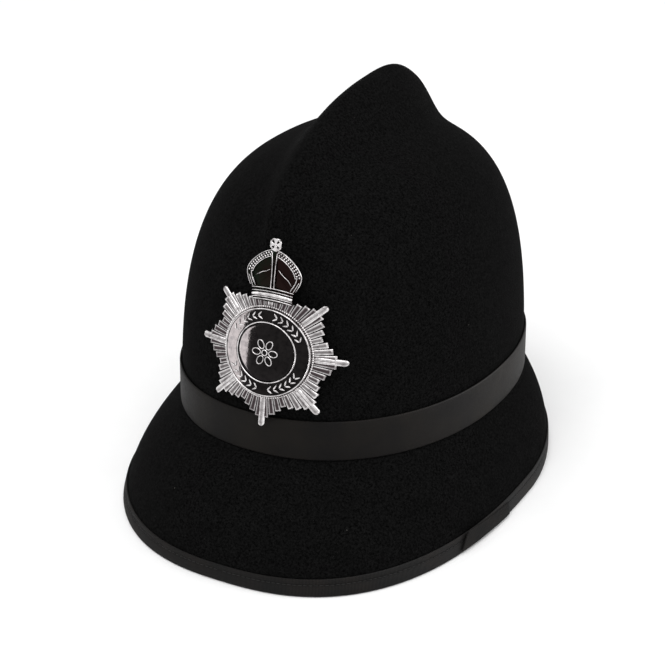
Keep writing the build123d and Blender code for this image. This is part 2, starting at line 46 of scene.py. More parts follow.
def aim(turn, lift):
    """The direction at an angle round from the front and an angle up, both in radians."""
    return np.array([math.sin(turn) * math.cos(lift), -math.cos(turn) * math.cos(lift), math.sin(lift)])


def stand(thing, axes, place):
    """Put an object into the scene by its three axes and its place in metres."""
    rows = zip(np.stack(axes, 1).tolist(), place)
    thing.matrix_world = Matrix([(*row, along) for row, along in rows] + [(0, 0, 0, 1)])
    bpy.context.scene.collection.objects.link(thing)


azimuth, elevation, roll = np.radians([30.45, 28.88, -2.79])
toward = aim(azimuth, elevation)
level = np.array([math.cos(azimuth), math.sin(azimuth), 0])
above = np.cross(toward, level)
place = 1200 * toward - 11.93 * level + (0, crown_middle, 77.17)
view_right = math.cos(roll) * level + math.sin(roll) * above
view_up = math.cos(roll) * above - math.sin(roll) * level
camera_data = bpy.data.cameras.new("camera")
camera_data.lens = 112.8
camera = bpy.data.objects.new("camera", camera_data)
stand(camera, (view_right, view_up, toward), 0.001 * place)
bpy.context.scene.camera = camera
bpy.context.scene.view_settings.view_transform = "Standard"


# Floor and light: a plain pale floor, white surroundings and soft boxes, as in a product studio.
# One box lights only the plate's ring and disc, which catch it on one side, and one only the band
# and the binding.
def linear(code):
    """A colour written as the screen's sRGB code, turned into the linear values that shaders take."""
    screen = np.array([int(code[start:start + 2], 16) for start in (1, 3, 5)]) / 255
    values = np.where(screen <= 0.04045, screen / 12.92, ((screen + 0.055) / 1.055) ** 2.4)
    return (*values.tolist(), 1)


def add_node(tree, kind, inputs=(), **settings):
    """Add a shader node: each input gets a value, or a link where it is another node's socket."""
    node = tree.nodes.new("ShaderNode" + kind)
    for name, value in settings.items():
        setattr(node, name, value)
    for name, value in dict(inputs).items():
        if isinstance(value, bpy.types.NodeSocket):
            tree.links.new(value, node.inputs[name])
        else:
            node.inputs[name].default_value = value
    return node


def new_material(name, roughness, **shader_values):
    """A material, its shader with every value that is the same all over, and its object coordinates."""
    material = bpy.data.materials.new(name)
    material.use_nodes = True
    shader = material.node_tree.nodes["Principled BSDF"]
    shader.inputs["Roughness"].default_value = roughness
    for key, value in shader_values.items():
        shader.inputs[key.replace("_", " ")].default_value = value
    return material, shader, add_node(material.node_tree, "TexCoord").outputs["Object"]


def noise(where, size, detail=3.0, rough=0.5):
    """Noise whose largest spots are about the given size, in millimetres."""
    values = {"Vector": where, "Scale": 1000 / size, "Detail": detail, "Roughness": rough}
    return add_node(where.id_data, "TexNoise", values).outputs["Fac"]


def blend_colours(factor, first, second):
    """A mix of two colours, or of a colour and a socket."""
    first, second = (linear(value) if isinstance(value, str) else value for value in (first, second))
    values = {"Factor": factor, 6: first, 7: second}
    return add_node(factor.id_data, "Mix", values, data_type="RGBA").outputs[2]


def paint(shader, factor, first, second):
    """Give a surface a mix of two colours."""
    shader.id_data.links.new(blend_colours(factor, first, second), shader.inputs["Base Color"])


def combine(operation, first, second):
    """Two factors put together by one of the Math node's operations."""
    return add_node(first.id_data, "Math", {0: first, 1: second}, operation=operation).outputs[0]


def ramp(factor, low, high):
    """A factor stretched so that low becomes 0 and high becomes 1, with soft ends."""
    values = {"Value": factor, "From Min": low, "From Max": high}
    return add_node(factor.id_data, "MapRange", values, interpolation_type="SMOOTHSTEP").outputs["Result"]


def span(factor, low, high):
    """A factor of 0 to 1 stretched so that it goes from low to high."""
    values = {"Value": factor, "To Min": low, "To Max": high}
    return add_node(factor.id_data, "MapRange", values).outputs["Result"]


def add_bump(shader, height, depth, strength=1.0):
    """A bump from a height of 0 to 1, whose full step is depth in millimetres."""
    previous = shader.inputs["Normal"]
    values = {"Height": height, "Distance": 0.001 * depth, "Strength": strength}
    if previous.is_linked:
        values["Normal"] = previous.links[0].from_socket
    shader.id_data.links.new(add_node(shader.id_data, "Bump", values).outputs["Normal"], previous)


floor_points = [(6 * x, 6 * y, -0.0002) for x, y in ((-1, -1), (1, -1), (1, 1), (-1, 1))]
floor_mesh = bpy.data.meshes.new("floor")
floor_mesh.from_pydata(floor_points, [], [(0, 1, 2, 3)])
floor = bpy.data.objects.new("floor", floor_mesh)
bpy.context.scene.collection.objects.link(floor)
material, shader, where = new_material("matt pale studio board", 0.9, Specular_IOR_Level=0.1)
paint(shader, noise(where, 40), "#f4f4f4", "#fafafa")
floor_mesh.materials.append(material)

world = bpy.data.worlds.new("white studio")
world.use_nodes = True
bpy.context.scene.world = world
rays = add_node(world.node_tree, "LightPath").outputs
seen = combine("MAXIMUM", rays["Is Camera Ray"], rays["Is Glossy Ray"])
seen = combine("MAXIMUM", seen, rays["Is Transmission Ray"])
background = world.node_tree.nodes["Background"].inputs
background["Color"].default_value = (1, 1, 1, 1)
world.node_tree.links.new(span(seen, 0.75, 1.0), background["Strength"])


def soft_box(name, azimuth, elevation, distance, width, height, power, only_on=None):
    """An area light that faces the helmet from an azimuth and an elevation, with 0 in front. It may be
    kept to one collection's pieces, as a narrow flag keeps a studio light."""
    turn = math.radians(azimuth)
    away = aim(turn, math.radians(elevation))
    side = np.array([math.cos(turn), math.sin(turn), 0])
    light = bpy.data.lights.new(name, "AREA")
    light.shape, light.size, light.size_y, light.energy = "RECTANGLE", width, height, power
    box = bpy.data.objects.new(name, light)
    if only_on:
        box.light_linking.receiver_collection = only_on
    stand(box, (side, np.cross(away, side), away), distance * away + (0, 0, 0.1))


plate_pieces = bpy.data.collections.new("front plate")
soft_box("glint box", -46.3, 2, 0.52, 0.24, 0.2, 5.8, only_on=plate_pieces)
soft_box("side box", -60, 40, 1.9, 1.1, 1.1, 4)
soft_box("top box", 20, 70, 1.9, 1.6, 1.6, 20)
soft_box("right box", 110, 25, 1.8, 0.9, 1.5, 8)
trim_pieces = bpy.data.collections.new("band and binding")
soft_box("trim box", 135, 20, 1.5, 0.9, 0.9, 30, only_on=trim_pieces)


# Felt cover: black wool felt, napped, moulded wet over the stiffener and drawn down under the rim.
# One skin with its real thickness. Up to the foot it follows three ovals; above, rays from a point
# inside the crown meet a dome, and the comb lifts them near the middle line.
crown_lean = math.radians(5.1)
# The foot's oval: half its width, its reach before and behind, its level in the middle, its power
foot_half, foot_front, foot_back, foot_level, foot_power = 90, 113.4, 118, 50.2, 2.15
# The middle oval's share of the way from the foot to the rim, and what is left of it
middle_share, outer_share = 0.56, 0.44
# The dome's height over the foot, and where its rays start, backwards and up in the crown's frame
dome_top, ray_back, ray_up = 146.4, 5, 60


def to_row(x, v, w):
    """From the crown's own frame (across, towards the back, up along the crown) to the helmet's."""
    x, v, w = np.broadcast_arrays(x, v, w)
    return np.stack([
        x,
        crown_middle + v * math.cos(crown_lean) + w * math.sin(crown_lean),
        foot_level - v * math.sin(crown_lean) + w * math.cos(crown_lean),
    ], -1)


def oval(turn, half, front, back, powers=(foot_power, foot_power)):
    """A superellipse |x/a|^p + |v/b|^p = 1 at angles from the front, with its own b and p behind."""
    ahead = np.cos(turn) > 0
    power = np.where(ahead, *powers)
    reach = np.where(ahead, front, back)
    total = (np.abs(np.sin(turn)) / half) ** power + (np.abs(np.cos(turn)) / reach) ** power
    radius = total ** (-1 / power)
    return radius * np.sin(turn), -radius * np.cos(turn)


def foot_oval(turn, inset):
    """The oval at the crown's foot, drawn in by an inset."""
    return oval(turn, foot_half - inset, foot_front - inset, foot_back - inset)


def foot_row(turn, inset, height):
    """Points along the foot's oval, drawn in by an inset and raised to a height along the crown."""
    return to_row(*foot_oval(turn, inset), height)


def brim_ovals(turn, inset):
    """The three ovals of the brim at angles from the front, each drawn in by an inset. The soft brim swells
    a little at the wearer's right front, as it does in the photograph."""
    rows = []
    turn = np.asarray(turn)
    swell = sum(6.0 * np.exp(-((turn - whole + 0.92) / 0.38) ** 2) for whole in (2 * np.pi, 0))
    for share, flare, swelling, powers in (
            (1, 0, 0, (foot_power, foot_power)), (0.45, 0.81, 0.5, (2.325, 2.015)), (0, 1, 1, (2.5, 1.88))):
        x, v = oval(turn, foot_half + 21 * flare - inset, foot_front + 38.9 * flare - inset,
                    foot_back + 3.7 * flare - inset, powers)
        x, v = (side * (1 + swelling * swell / np.hypot(x, v)) for side in (x, v))
        lean = crown_lean * share
        rows.append(np.stack(
            [x, crown_middle + v * math.cos(lean), foot_level * share - v * math.sin(lean)], -1))
    return rows


def brim(turn, share, inset=0.0):
    """A point of the brim: the parabola through the three ovals, from the foot (share 0) to the rim (1)."""
    foot, middle, rim = brim_ovals(turn, inset)
    t = np.asarray(share, float)[..., None]
    return ((t - middle_share) * (t - 1) / middle_share * foot
            + t * (t - 1) / (middle_share * -outer_share) * middle
            + t * (t - middle_share) / outer_share * rim)


def brim_at(turn, height, inset=0.0):
    """The brim's point at a level height near the rim, from the parabola's own equation."""
    foot, middle, rim = (row[..., 2] for row in brim_ovals(turn, inset))
    hump = middle / (middle_share * outer_share)
    a = foot / middle_share - hump + rim / outer_share
    b = -(1 + middle_share) * foot / middle_share + hump - middle_share * rim / outer_share
    root = np.sign(-b) * np.sqrt(np.maximum(b * b - 4 * a * (foot - height), 0))
    first, second = (-b + root) / (2 * a), (-b - root) / (2 * a)
    first = np.where(np.abs(a) < 1e-6, (height - foot) / b, first)
    return brim(turn, np.where(np.abs(first - 1) < np.abs(second - 1), first, second), inset)


def inside_dome(x, v, share, inset):
    """Whether places lie in the dome's oval at a share s of its height, where each of the foot's reaches
    has shrunk by (1 - s^p)^(1/q)."""
    half, front, behind = (
        (reach - inset) * (1 - share ** p) ** (1 / q) + 1e-6
        for reach, p, q in ((foot_half, 2.7, 3.09), (foot_front, 2.47, 3.59), (foot_back, 4.0, 3.1)))
    reach = np.where(v < 0, front, behind)
    return (np.abs(x) / half) ** foot_power + (np.abs(v) / reach) ** foot_power < 1


def dome_radius(across, along, up, inset):
    """How far rays run inside the dome, by halving."""
    near, far = np.zeros_like(across), np.full_like(across, 260.0)
    for _ in range(34):
        middle = (near + far) / 2
        share = np.clip((ray_up + middle * up) / (dome_top - inset), 0, 1)
        inside = inside_dome(middle * across, ray_back + middle * along, share, inset) & (share < 1)
        near, far = np.where(inside, middle, near), np.where(inside, far, middle)
    return near


def through(x, xs, ys):
    """A smooth curve through points, level at both ends."""
    slopes = np.gradient(ys, xs)
    slopes[[0, -1]] = 0
    i = np.clip(np.searchsorted(xs, x) - 1, 0, len(xs) - 2)
    step = xs[i + 1] - xs[i]
    t = np.clip((x - xs[i]) / step, 0, 1)
    return (
        (1 + 2 * t) * (1 - t) ** 2 * ys[i] + t * (1 - t) ** 2 * step * slopes[i]
        + t * t * (3 - 2 * t) * ys[i + 1] + t * t * (t - 1) * step * slopes[i + 1]
    )


# Angles up from the front, how far the comb lifts the crown there, and its half width
comb_angle, comb_lift, comb_half = np.array([
    (5.8, 0, 4.5), (14.8, 0.9, 7.0), (22.6, 2.8, 11.5), (31.3, 7.0, 15.0), (39.1, 10.8, 20.0),
    (51.3, 13.2, 27.5), (66.8, 19.4, 33.5), (81.4, 25.6, 37.0), (95.8, 29.0, 38.0), (110, 30.2, 36.0),
    (121.2, 23.5, 31.0), (133.9, 11.5, 24.0), (146.1, 1.8, 15.0), (156.1, 0, 12),
]).T


def crown(turn, rise, inset=0.0, comb=True):
    """A point of the crown, at an angle from the front and a rise from 0 at the foot to 1 at the top."""
    x, v = foot_oval(turn, inset)
    heading = np.arctan2(x, ray_back - v)
    lowest = np.arctan2(-ray_up, np.hypot(x, v - ray_back))
    climb = lowest + (np.pi / 2 - lowest) * rise
    across, along = np.cos(climb) * np.sin(heading), -np.cos(climb) * np.cos(heading)
    up = np.broadcast_to(np.sin(climb), across.shape)
    radius = dome_radius(across, along, up, inset)
    if comb:
        angle = np.degrees(np.arctan2(up, -along)) % 360
        lift = through(angle, comb_angle, comb_lift)
        lift = np.where((angle > comb_angle[0]) & (angle < comb_angle[-1]), lift, 0)
        width = 0.44 * through(angle, comb_angle, comb_half)
        radius = radius + lift * np.exp(-(np.abs(radius * across) / width) ** 1.8)
    return to_row(radius * across, ray_back + radius * along, ray_up + radius * up)


def turns(count, crowding=0.35):
    """Angles all the way round, closer together in front and behind."""
    even = np.linspace(0, 2 * np.pi, count, endpoint=False)
    return even - crowding * np.sin(2 * even)


def grid(rings, loop=False, tone=None):
    """A closed part of a mesh from rings of points: each ring joins the next one, and the ends close over
    a middle point, or in a loop the last ring joins the first. Cloth coordinates run round (u) and
    across (v)."""
    rings = np.asarray(rings, float)
    count, around = rings.shape[:2]
    index = np.arange(count * around).reshape(count, around)
    if loop:
        index = np.vstack([index, index[:1]])
    index = np.hstack([index, index[:, :1]])
    closed = np.concatenate([rings, rings[:, :1]], 1)
    u = np.concatenate([[0], np.cumsum(np.linalg.norm(np.diff(closed, axis=1), axis=2).mean(0))])
    rows = np.concatenate([rings, rings[:1]]) if loop else rings
    v = np.concatenate([[0], np.cumsum(np.linalg.norm(np.diff(rows, axis=0), axis=2).mean(1))])
    corners = ((0, 0), (0, 1), (1, 1), (1, 0))
    faces = np.stack([index[i:len(index) - 1 + i, j:around + j] for i, j in corners], -1).reshape(-1, 4)
    cloth = np.stack([
        np.stack(np.broadcast_arrays(u[None, j:around + j], v[i:len(index) - 1 + i, None]), -1)
        for i, j in corners
    ], 2).reshape(-1, 4, 2)
    points = rings.reshape(-1, 3)
    parts = [(faces, cloth)]
    if not loop:
        points = np.vstack([points, rings[0].mean(0), rings[-1].mean(0)])
        for ring, pole, v_pole in ((0, count * around, v[0]), (count - 1, count * around + 1, v[-1])):
            first, second = index[ring, :-1], index[ring, 1:]
            fan = np.stack([np.full(around, pole), second, first], -1)
            if ring:
                fan = fan[:, ::-1]
            round_corners = np.stack([u[:-1], u[1:], u[:-1]], -1)
            parts.append((fan, np.stack([round_corners, np.full((around, 3), v_pole)], -1)))
    volume = 0
    for faces, _ in parts:
        corner = points[faces]
        for i in range(1, faces.shape[1] - 1):
            volume += np.einsum("ij,ij->", corner[:, 0], np.cross(corner[:, i], corner[:, i + 1]))
    if volume < 0:
        parts = [(faces[:, ::-1], cloth[:, ::-1]) for faces, cloth in parts]
    tones = np.zeros(len(points)) if tone is None else np.concatenate(
        [np.broadcast_to(tone, (count, around)).ravel(), np.full(len(points) - count * around, np.mean(tone))]
    )
    return (
        points,
        np.concatenate([faces.ravel() for faces, _ in parts]),
        np.concatenate([np.full(len(faces), faces.shape[1]) for faces, _ in parts]),
        np.concatenate([cloth.reshape(-1, 2) for _, cloth in parts]),
        tones,
    )


def copies(part, places, axes):
    """A part repeated: each copy has its own place, and its three axes as the rows of a matrix."""
    points, corners, sizes, cloth, tones = part
    count = len(places)
    placed = np.einsum("pi,cij->cpj", points, axes) + np.asarray(places)[:, None]
    offsets = np.arange(count)[:, None] * len(points)
    return (
        placed.reshape(-1, 3), (corners + offsets).ravel(), np.tile(sizes, count),
        np.tile(cloth, (count, 1)), np.tile(tones, count),
    )


def piece(name, parts, material, node=None, body="helmet", smooth=True):
    """Make one object of the closed parts, which rides on a body and may stand for a CAD node."""
    start = np.cumsum([0] + [len(part[0]) for part in parts])
    corners = np.concatenate([part[1] + first for part, first in zip(parts, start)])
    points, _, sizes, cloth, tones = (np.concatenate(values) for values in zip(*parts))
    mesh = bpy.data.meshes.new(name)
    mesh.vertices.add(len(points))
    mesh.vertices.foreach_set("co", (points / 1000).ravel())
    mesh.loops.add(len(corners))
    mesh.loops.foreach_set("vertex_index", corners.astype(np.int32))
    mesh.polygons.add(len(sizes))
    mesh.polygons.foreach_set("loop_start", (np.cumsum(sizes) - sizes).astype(np.int32))
    mesh.polygons.foreach_set("use_smooth", np.full(len(sizes), smooth))
    layer = mesh.uv_layers.new(name="cloth")
    layer.data.foreach_set("uv", (cloth / 1000).ravel().astype(np.float32))
    # The tone attribute holds the painted shade, painted reflections and painted highlights of the chromed
    # pieces.
    mesh.attributes.new("tone", "FLOAT", "POINT").data.foreach_set("value", tones.astype(np.float32))
    mesh.update(calc_edges=True)
    mesh.materials.append(material)
    made = bpy.data.objects.new(name, mesh)
    bpy.context.scene.collection.objects.link(made)
    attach(made, body)
    if node:
        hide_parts(node)
    return made


def cells(where, scale, feature="F1"):
    """Distances in a pattern of cells; the scale says how many lie along a metre."""
    values = {"Vector": where, "Scale": scale}
    return add_node(where.id_data, "TexVoronoi", values, feature=feature).outputs["Distance"]


# The nap is drawn a little coarser than it is, so that it shows
felt, shader, where = new_material("napped black wool felt", 1.0, Specular_IOR_Level=0.02)
nap = noise(where, 1.2, 6, 0.75)
body_colour = blend_colours(ramp(nap, 0.3, 0.7), "#000000", "#151515")
body_colour = blend_colours(ramp(noise(where, 9, 4), 0.3, 1.3), body_colour, "#070707")
lint = combine("MULTIPLY", ramp(cells(where, 90), 0.045, 0.02), ramp(noise(where, 14, 1), 0.60, 0.64))
paint(shader, lint, body_colour, "#4c4a47")
add_bump(shader, noise(where, 26, 3), 0.9, 0.6)
add_bump(shader, nap, 0.35, 0.9)
around = turns(288)
felt_edge, felt_thickness = 1.2, 1.5
outer = [brim_at(around, felt_edge)] + [brim(around, share) for share in np.linspace(0.93, 0, 20)]
outer += [crown(around, rise) for rise in np.linspace(0.012, 0.994, 132)]
inner = [crown(around, rise, felt_thickness) for rise in np.linspace(0.99, 0.03, 40)]
inner += [brim(around, share, felt_thickness) for share in np.linspace(0.0, 0.93, 8)]
inner.append(brim_at(around, felt_edge, felt_thickness))
felt_cover = piece("felt_skin", [grid(outer[::-1] + inner[::-1])], felt, "felt_cover")


# Stiffener and comb core: the moulded composite shell that carries everything, which follows the felt,
# and the carved cork former glued on it inside the felt comb, which keeps its CAD shape.
def cad_finish(material, *nodes):
    """Give CAD nodes a material of the scene."""
    for node in nodes:
        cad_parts[node].data.materials[0] = material


board, shader, where = new_material("moulded composite, sanded", 0.72, Specular_IOR_Level=0.3)
fibres = noise(where, 1.6, 6, 0.7)
paint(shader, fibres, "#4d4236", "#7b6c58")
add_bump(shader, fibres, 0.08)
around = turns(200, 0.2)
outside, inside = (
    [brim_at(around, felt_edge, inset)] + [brim(around, share, inset) for share in np.linspace(0.93, 0, 14)]
    + [crown(around, rise, inset, comb=False) for rise in np.linspace(0.012, 0.992, 60)]
    for inset in (1.7, 3.7))
piece("stiffener_board", [grid(outside[::-1] + inside)], board, "stiffener_shell")
cork, shader, where = new_material("carved cork, open grain", 0.85, Specular_IOR_Level=0.25)
paint(shader, noise(where, 2.5, 5), "#7a5633", "#b98f5f")
add_bump(shader, noise(where, 2, 5), 0.3)
cad_finish(cork, "comb_core")


# Linings: plain-woven black cotton glued inside the crown and under the brim.
# Thin closed skins that follow the wall's own formula; the thread shows as a fine over-and-under weave.
def cloth_coordinates(shader):
    """The coordinates that run round and across a piece's cloth."""
    return add_node(shader.id_data, "UVMap", uv_map="cloth").outputs["UV"]


def bands(where, pitch, direction="X"):
    """Even bands with a pitch in millimetres along the cloth's first (X) or second (Y) coordinate."""
    values = {"Vector": where, "Scale": 2 * math.pi / (20 * 0.001 * pitch)}
    return add_node(where.id_data, "TexWave", values, bands_direction=direction).outputs["Fac"]


def woven(where, pitch):
    """A plain weave: one thread's bands show where the other's sink."""
    return combine("MULTIPLY", bands(where, pitch), bands(where, pitch, "Y"))


lining, shader, where = new_material("plain woven black cotton", 0.88, Specular_IOR_Level=0.2,
                                     Sheen_Weight=0.12, Sheen_Roughness=0.5)
weave = woven(cloth_coordinates(shader), 0.7)
paint(shader, noise(where, 12, 4), blend_colours(weave, "#101011", "#26262a"), "#1a1a1c")
add_bump(shader, noise(where, 18, 3), 0.5, 0.5)
add_bump(shader, weave, 0.15)
around = turns(160, 0.2)
lining_outer, lining_inner = 3.95, 4.6
rises = np.linspace(0.0, 0.985, 48)
skin = [crown(around, rise, lining_outer, comb=False) for rise in rises[::-1]]
skin += [crown(around, rise, lining_inner, comb=False) for rise in rises]
crown_lining = piece("crown_lining_cloth", [grid(skin)], lining, "crown_lining")
shares = np.linspace(0.0, 0.95, 14)
skin = [brim(around, share, lining_outer) for share in shares]
skin += [brim(around, share, lining_inner) for share in shares[::-1]]
brim_lining = piece("brim_lining_cloth", [grid(skin, loop=True)], lining, "brim_lining")


# Edge binding: black ribbed tape folded round the rim and sewn through with one row of dark thread,
# which pulls it in. It ends on the wearer's left in a loose end, doubled over and caught down.
def run_along(path):
    """How far along a path each of its points lies."""
    return np.concatenate([[0], np.cumsum(np.linalg.norm(np.diff(path, axis=0), axis=1))])


def points_at(at, run, path):
    """The points that lie at given distances along a path."""
    return np.stack([np.interp(at, run, column) for column in path.T], -1)


def stitch_row(name, path, facing, pitch, length, width, material, body="helmet"):
    """Sewn thread: short round-ended stitches laid evenly along a closed or open path."""
    run = run_along(path)
    at = np.arange(pitch / 2, run[-1] - pitch / 2, pitch)
    along = points_at(at + 0.5, run, path) - points_at(at - 0.5, run, path)
    along /= np.linalg.norm(along, axis=1)[:, None]
    side = np.cross(points_at(at, run, facing), along)
    side /= np.linalg.norm(side, axis=1)[:, None]
    axes = np.stack([along, side, np.cross(along, side)], 1)
    reach = np.array([-0.5, -0.42, -0.2, 0.2, 0.42, 0.5]) * length
    girth = np.array([0.15, 0.75, 1, 1, 0.75, 0.15]) * width / 2
    circle = np.linspace(0, 2 * np.pi, 6, endpoint=False)
    rings = np.stack(np.broadcast_arrays(
        reach[:, None], girth[:, None] * np.cos(circle), girth[:, None] * np.sin(circle)), -1)
    piece(name, [copies(grid(rings), points_at(at, run, path), axes)], material, body=body)


def facing_out(path):
    """Level directions away from the middle of the head, one for each point of a path."""
    away = path - (0, crown_middle, 0)
    away[:, 2] = 0
    return away / np.linalg.norm(away, axis=1)[:, None]


tape, shader, where = new_material("ribbed binding tape, black", 0.8, Specular_IOR_Level=0.08,
                                   Sheen_Weight=0.02, Sheen_Roughness=0.4)
ribs = bands(cloth_coordinates(shader), 0.75)
paint(shader, ribs, "#101010", blend_colours(ramp(noise(where, 22, 4), 0.3, 0.75), "#1e1e1e", "#272321"))
add_bump(shader, noise(where, 9, 3), 0.35, 0.6)
add_bump(shader, ribs, 0.12)
thread, shader, where = new_material("sewing thread, black", 0.6, Specular_IOR_Level=0.3)
twist = bands(cloth_coordinates(shader), 0.4)
paint(shader, twist, "#0c0c0c", "#242323")
add_bump(shader, twist, 0.05)
around = turns(360, 0.1)
outward = [0.25, 0.75, 0.95, 0.95, 0.55, 0.42, 0.55, 0.95, 1.0, 0.95, 0.8, 0.35, -0.6]
height = [10.2, 10.35, 10.0, 8.2, 7.3, 6.95, 6.6, 5.8, 3.2, 1.2, 0.45, 0.08, 0.0]
outward += [-3.8, -4.7, -5.15, -5.3, -5.3, -5.0, -5.3, -5.3, -5.1, -4.6, -4.45, -4.4, 0.05]
height += [0.0, 0.1, 0.5, 1.3, 6.4, 6.9, 7.4, 9.9, 10.3, 10.2, 6.0, 1.3, 1.3]
rows = [brim_at(around, up, -out) for out, up in zip(outward, height)]
binding = piece("binding_tape", [grid(rows, loop=True)], tape, "edge_binding")
trim_pieces.objects.link(binding)
seam = brim_at(np.append(around, 2 * np.pi), 6.95, -0.62)
stitch_row("binding_stitches", seam, facing_out(seam), 2.9, 2.3, 0.45, thread)
# The loose end: the tape doubled back on itself, a flat loop that stands a little off at its far end
across = np.radians(np.linspace(54.5, 75.5, 40))
along = np.linspace(0, 1, 40)
lift = 1.4 * (1 - along) ** 3 + 0.3 * along ** 6
profile_out = np.array([0.0, 0.1, 0.45, 0.7, 0.8, 0.8, 0.7, 0.45, 0.1, 0.0])
profile_up = np.array([2.1, 1.65, 1.45, 1.6, 2.1, 8.9, 9.3, 9.5, 9.3, 8.9])
rows = []
for out, up in zip(profile_out, profile_up):
    high = (up - 1.4) / 8
    slant = up + 1.2 * (1 - along) - 0.4 + 2.4 * high * (1 - along) ** 2
    rows.append(brim_at(across + 0.045 * high * (1 - along), slant, -(1.27 + out + lift * high)))
tail = grid(np.transpose(rows, (1, 0, 2)))
binding_end = piece("binding_loose_end", [tail], tape, "binding_tail")


# Hat band: plain black coated cloth with a soft sheen, drawn tight round the foot of the crown.
# Its two ends meet at the back under a lap of the same stuff.
def strip(turn, inset, up, closed=True):
    """A ribbon along the crown's foot oval: its cross-section's points are insets and heights."""
    rows = np.stack([foot_row(turn, depth, height) for depth, height in zip(inset, up)])
    return grid(rows, loop=True) if closed else grid(rows.transpose(1, 0, 2))


satin, shader, where = new_material("coated black cloth, satin", 0.5, Specular_IOR_Level=0.06)
paint(shader, ramp(noise(where, 30, 4), 0.3, 0.7), "#131212", "#191715")
shader.id_data.links.new(span(noise(where, 2.2, 5, 0.7), 0.42, 0.66), shader.inputs["Roughness"])
add_bump(shader, noise(where, 16, 3), 0.35, 0.5)
add_bump(shader, woven(cloth_coordinates(shader), 0.35), 0.02)
band_out = [-0.3, -0.9, -1.15, -1.22, -1.25, -1.28, -1.25, -1.22, -1.0, -0.5, -0.3, -0.25, -0.25]
band_up = [0.62, 0.6, 0.8, 1.4, 5.0, 12.0, 19.0, 22.8, 23.4, 23.6, 23.4, 16.0, 6.0]
around = turns(240, 0.15)
band = piece("band_cloth", [strip(around, band_out, band_up)], satin, "hat_band")
trim_pieces.objects.link(band)
lap_turns = np.pi + np.linspace(-0.113, 0.113, 24)
lap_out = np.array([-1.36, -2.0, -2.3, -2.35, -2.35, -2.3, -2.0, -1.36, -1.34, -1.34])
lap_up = np.array([1.5, 1.42, 1.8, 4.0, 20.0, 22.4, 22.8, 22.7, 16.0, 8.0])
lap = piece("band_lap_cloth", [strip(lap_turns, lap_out, lap_up, closed=False)], satin,
            "hat_band_lap")
for name, side in (("right", -1), ("left", 1)):
    path = foot_row(np.full(12, np.pi + side * 0.098), -2.4, np.linspace(2.6, 21.6, 12))
    stitch_row("lap_stitches_" + name, path, facing_out(path), 2.4, 1.7, 0.4, thread)


# Head fitting: a grained leather sweatband sewn into a ring, a tape over its joint at the back,
# eight foam spacers glued behind it that let air through, and a crowned foam pad under the top.
def grained_leather(name, roughness, specular, scale, crease, spots, colours, depth, dents):
    """Leather with dark creases between the cells of its grain, over spots of two other colours, and with
    dents given by their size and depth."""
    material, shader, where = new_material(name, roughness, Specular_IOR_Level=specular)
    creases = ramp(cells(where, scale, "DISTANCE_TO_EDGE"), 0.0, crease)
    paint(shader, creases, colours[0], blend_colours(noise(where, spots, 4), colours[1], colours[2]))
    add_bump(shader, creases, depth)
    add_bump(shader, noise(where, dents[0], 3), dents[1], 0.5)
    return material


leather = grained_leather("grained sweatband leather, dark brown", 0.5, 0.4, 900, 0.12, 14,
                          ("#241811", "#33231a", "#4a3527"), 0.07, (12, 0.25))
around = turns(220, 0.1)
band_in = [9.55, 9.5, 9.5, 9.6, 10.0, 10.6, 10.85, 10.9, 10.9, 10.75, 10.3, 9.8]
band_up = [4.0, 20.0, 34.5, 35.8, 36.0, 35.9, 35.2, 20.0, 3.0, 1.4, 1.0, 1.2]
sweatband = piece("sweatband_leather_ring", [strip(around, band_in, band_up)], leather,
                  "sweatband")
for name, height in (("low", 3.4), ("high", 33.2)):
    path = foot_row(np.append(around, 2 * np.pi), 10.98, height)
    stitch_row("sweatband_stitches_" + name, path, -facing_out(path), 3.2, 2.5, 0.5, thread)
back_turns = np.pi + np.linspace(-0.083, 0.083, 16)
seam_in = np.array([9.38, 9.0, 8.72, 8.7, 8.7, 8.72, 9.0, 9.38, 9.4, 9.4])
seam_up = np.array([1.1, 1.02, 1.2, 3.0, 33.0, 35.6, 35.95, 35.8, 24.0, 10.0])
seam_tape = piece("seam_tape", [strip(back_turns, seam_in, seam_up, closed=False)], tape,
                  "sweatband_seam")
foam, shader, where = new_material("open-cell foam, charcoal", 0.95, Specular_IOR_Level=0.15)
pores = ramp(cells(where, 1400), 0.1, 0.5)
paint(shader, pores, "#161617", "#3a3a3c")
add_bump(shader, pores, 0.2)
spacer_in = np.array([9.15, 8.9, 7.5, 6.0, 5.1, 4.95, 5.0, 5.2, 6.0, 7.5, 8.9, 9.15, 9.2, 9.2])
spacer_up = np.array([4.6, 4.15, 4.0, 4.05, 4.5, 6.0, 17.0, 28.0, 29.6, 29.95, 29.8, 29.2, 22.0, 12.0])
parts = []
for index in range(8):
    middle = np.radians(45 * (index + 0.5))
    half = 18.8 / math.hypot(*oval(middle, 83, 106, 111))
    turn = middle + half * np.sin(np.linspace(-1.5, 1.5, 18))
    parts.append(strip(turn, spacer_in, spacer_up, closed=False))
spacers = piece("spacer_foam", parts, foam, "spacer_pads")
turn = np.linspace(0, 2 * np.pi, 96, endpoint=False)
channel = 1 - 0.10 * np.exp(-(np.sin(3 * turn) / 0.12) ** 2)
rings = []
for share in np.linspace(0.02, 0.995, 22):
    radius = math.sin(share * math.pi / 2)
    depth = 15.2 * (1 - radius ** 4) ** 0.5 * (0.55 + 0.45 * channel)
    rings.append((radius * 45.6 * np.sin(turn), -radius * 59.6 * np.cos(turn), 16.2 - depth))


def dome_height(x, v, inset):
    """The dome's height over a place, by halving."""
    low, high = np.zeros_like(x), np.ones_like(x)
    for _ in range(24):
        middle = (low + high) / 2
        inside = inside_dome(x, v, middle, inset)
        low, high = np.where(inside, middle, low), np.where(inside, high, middle)
    return low * (dome_top - inset)


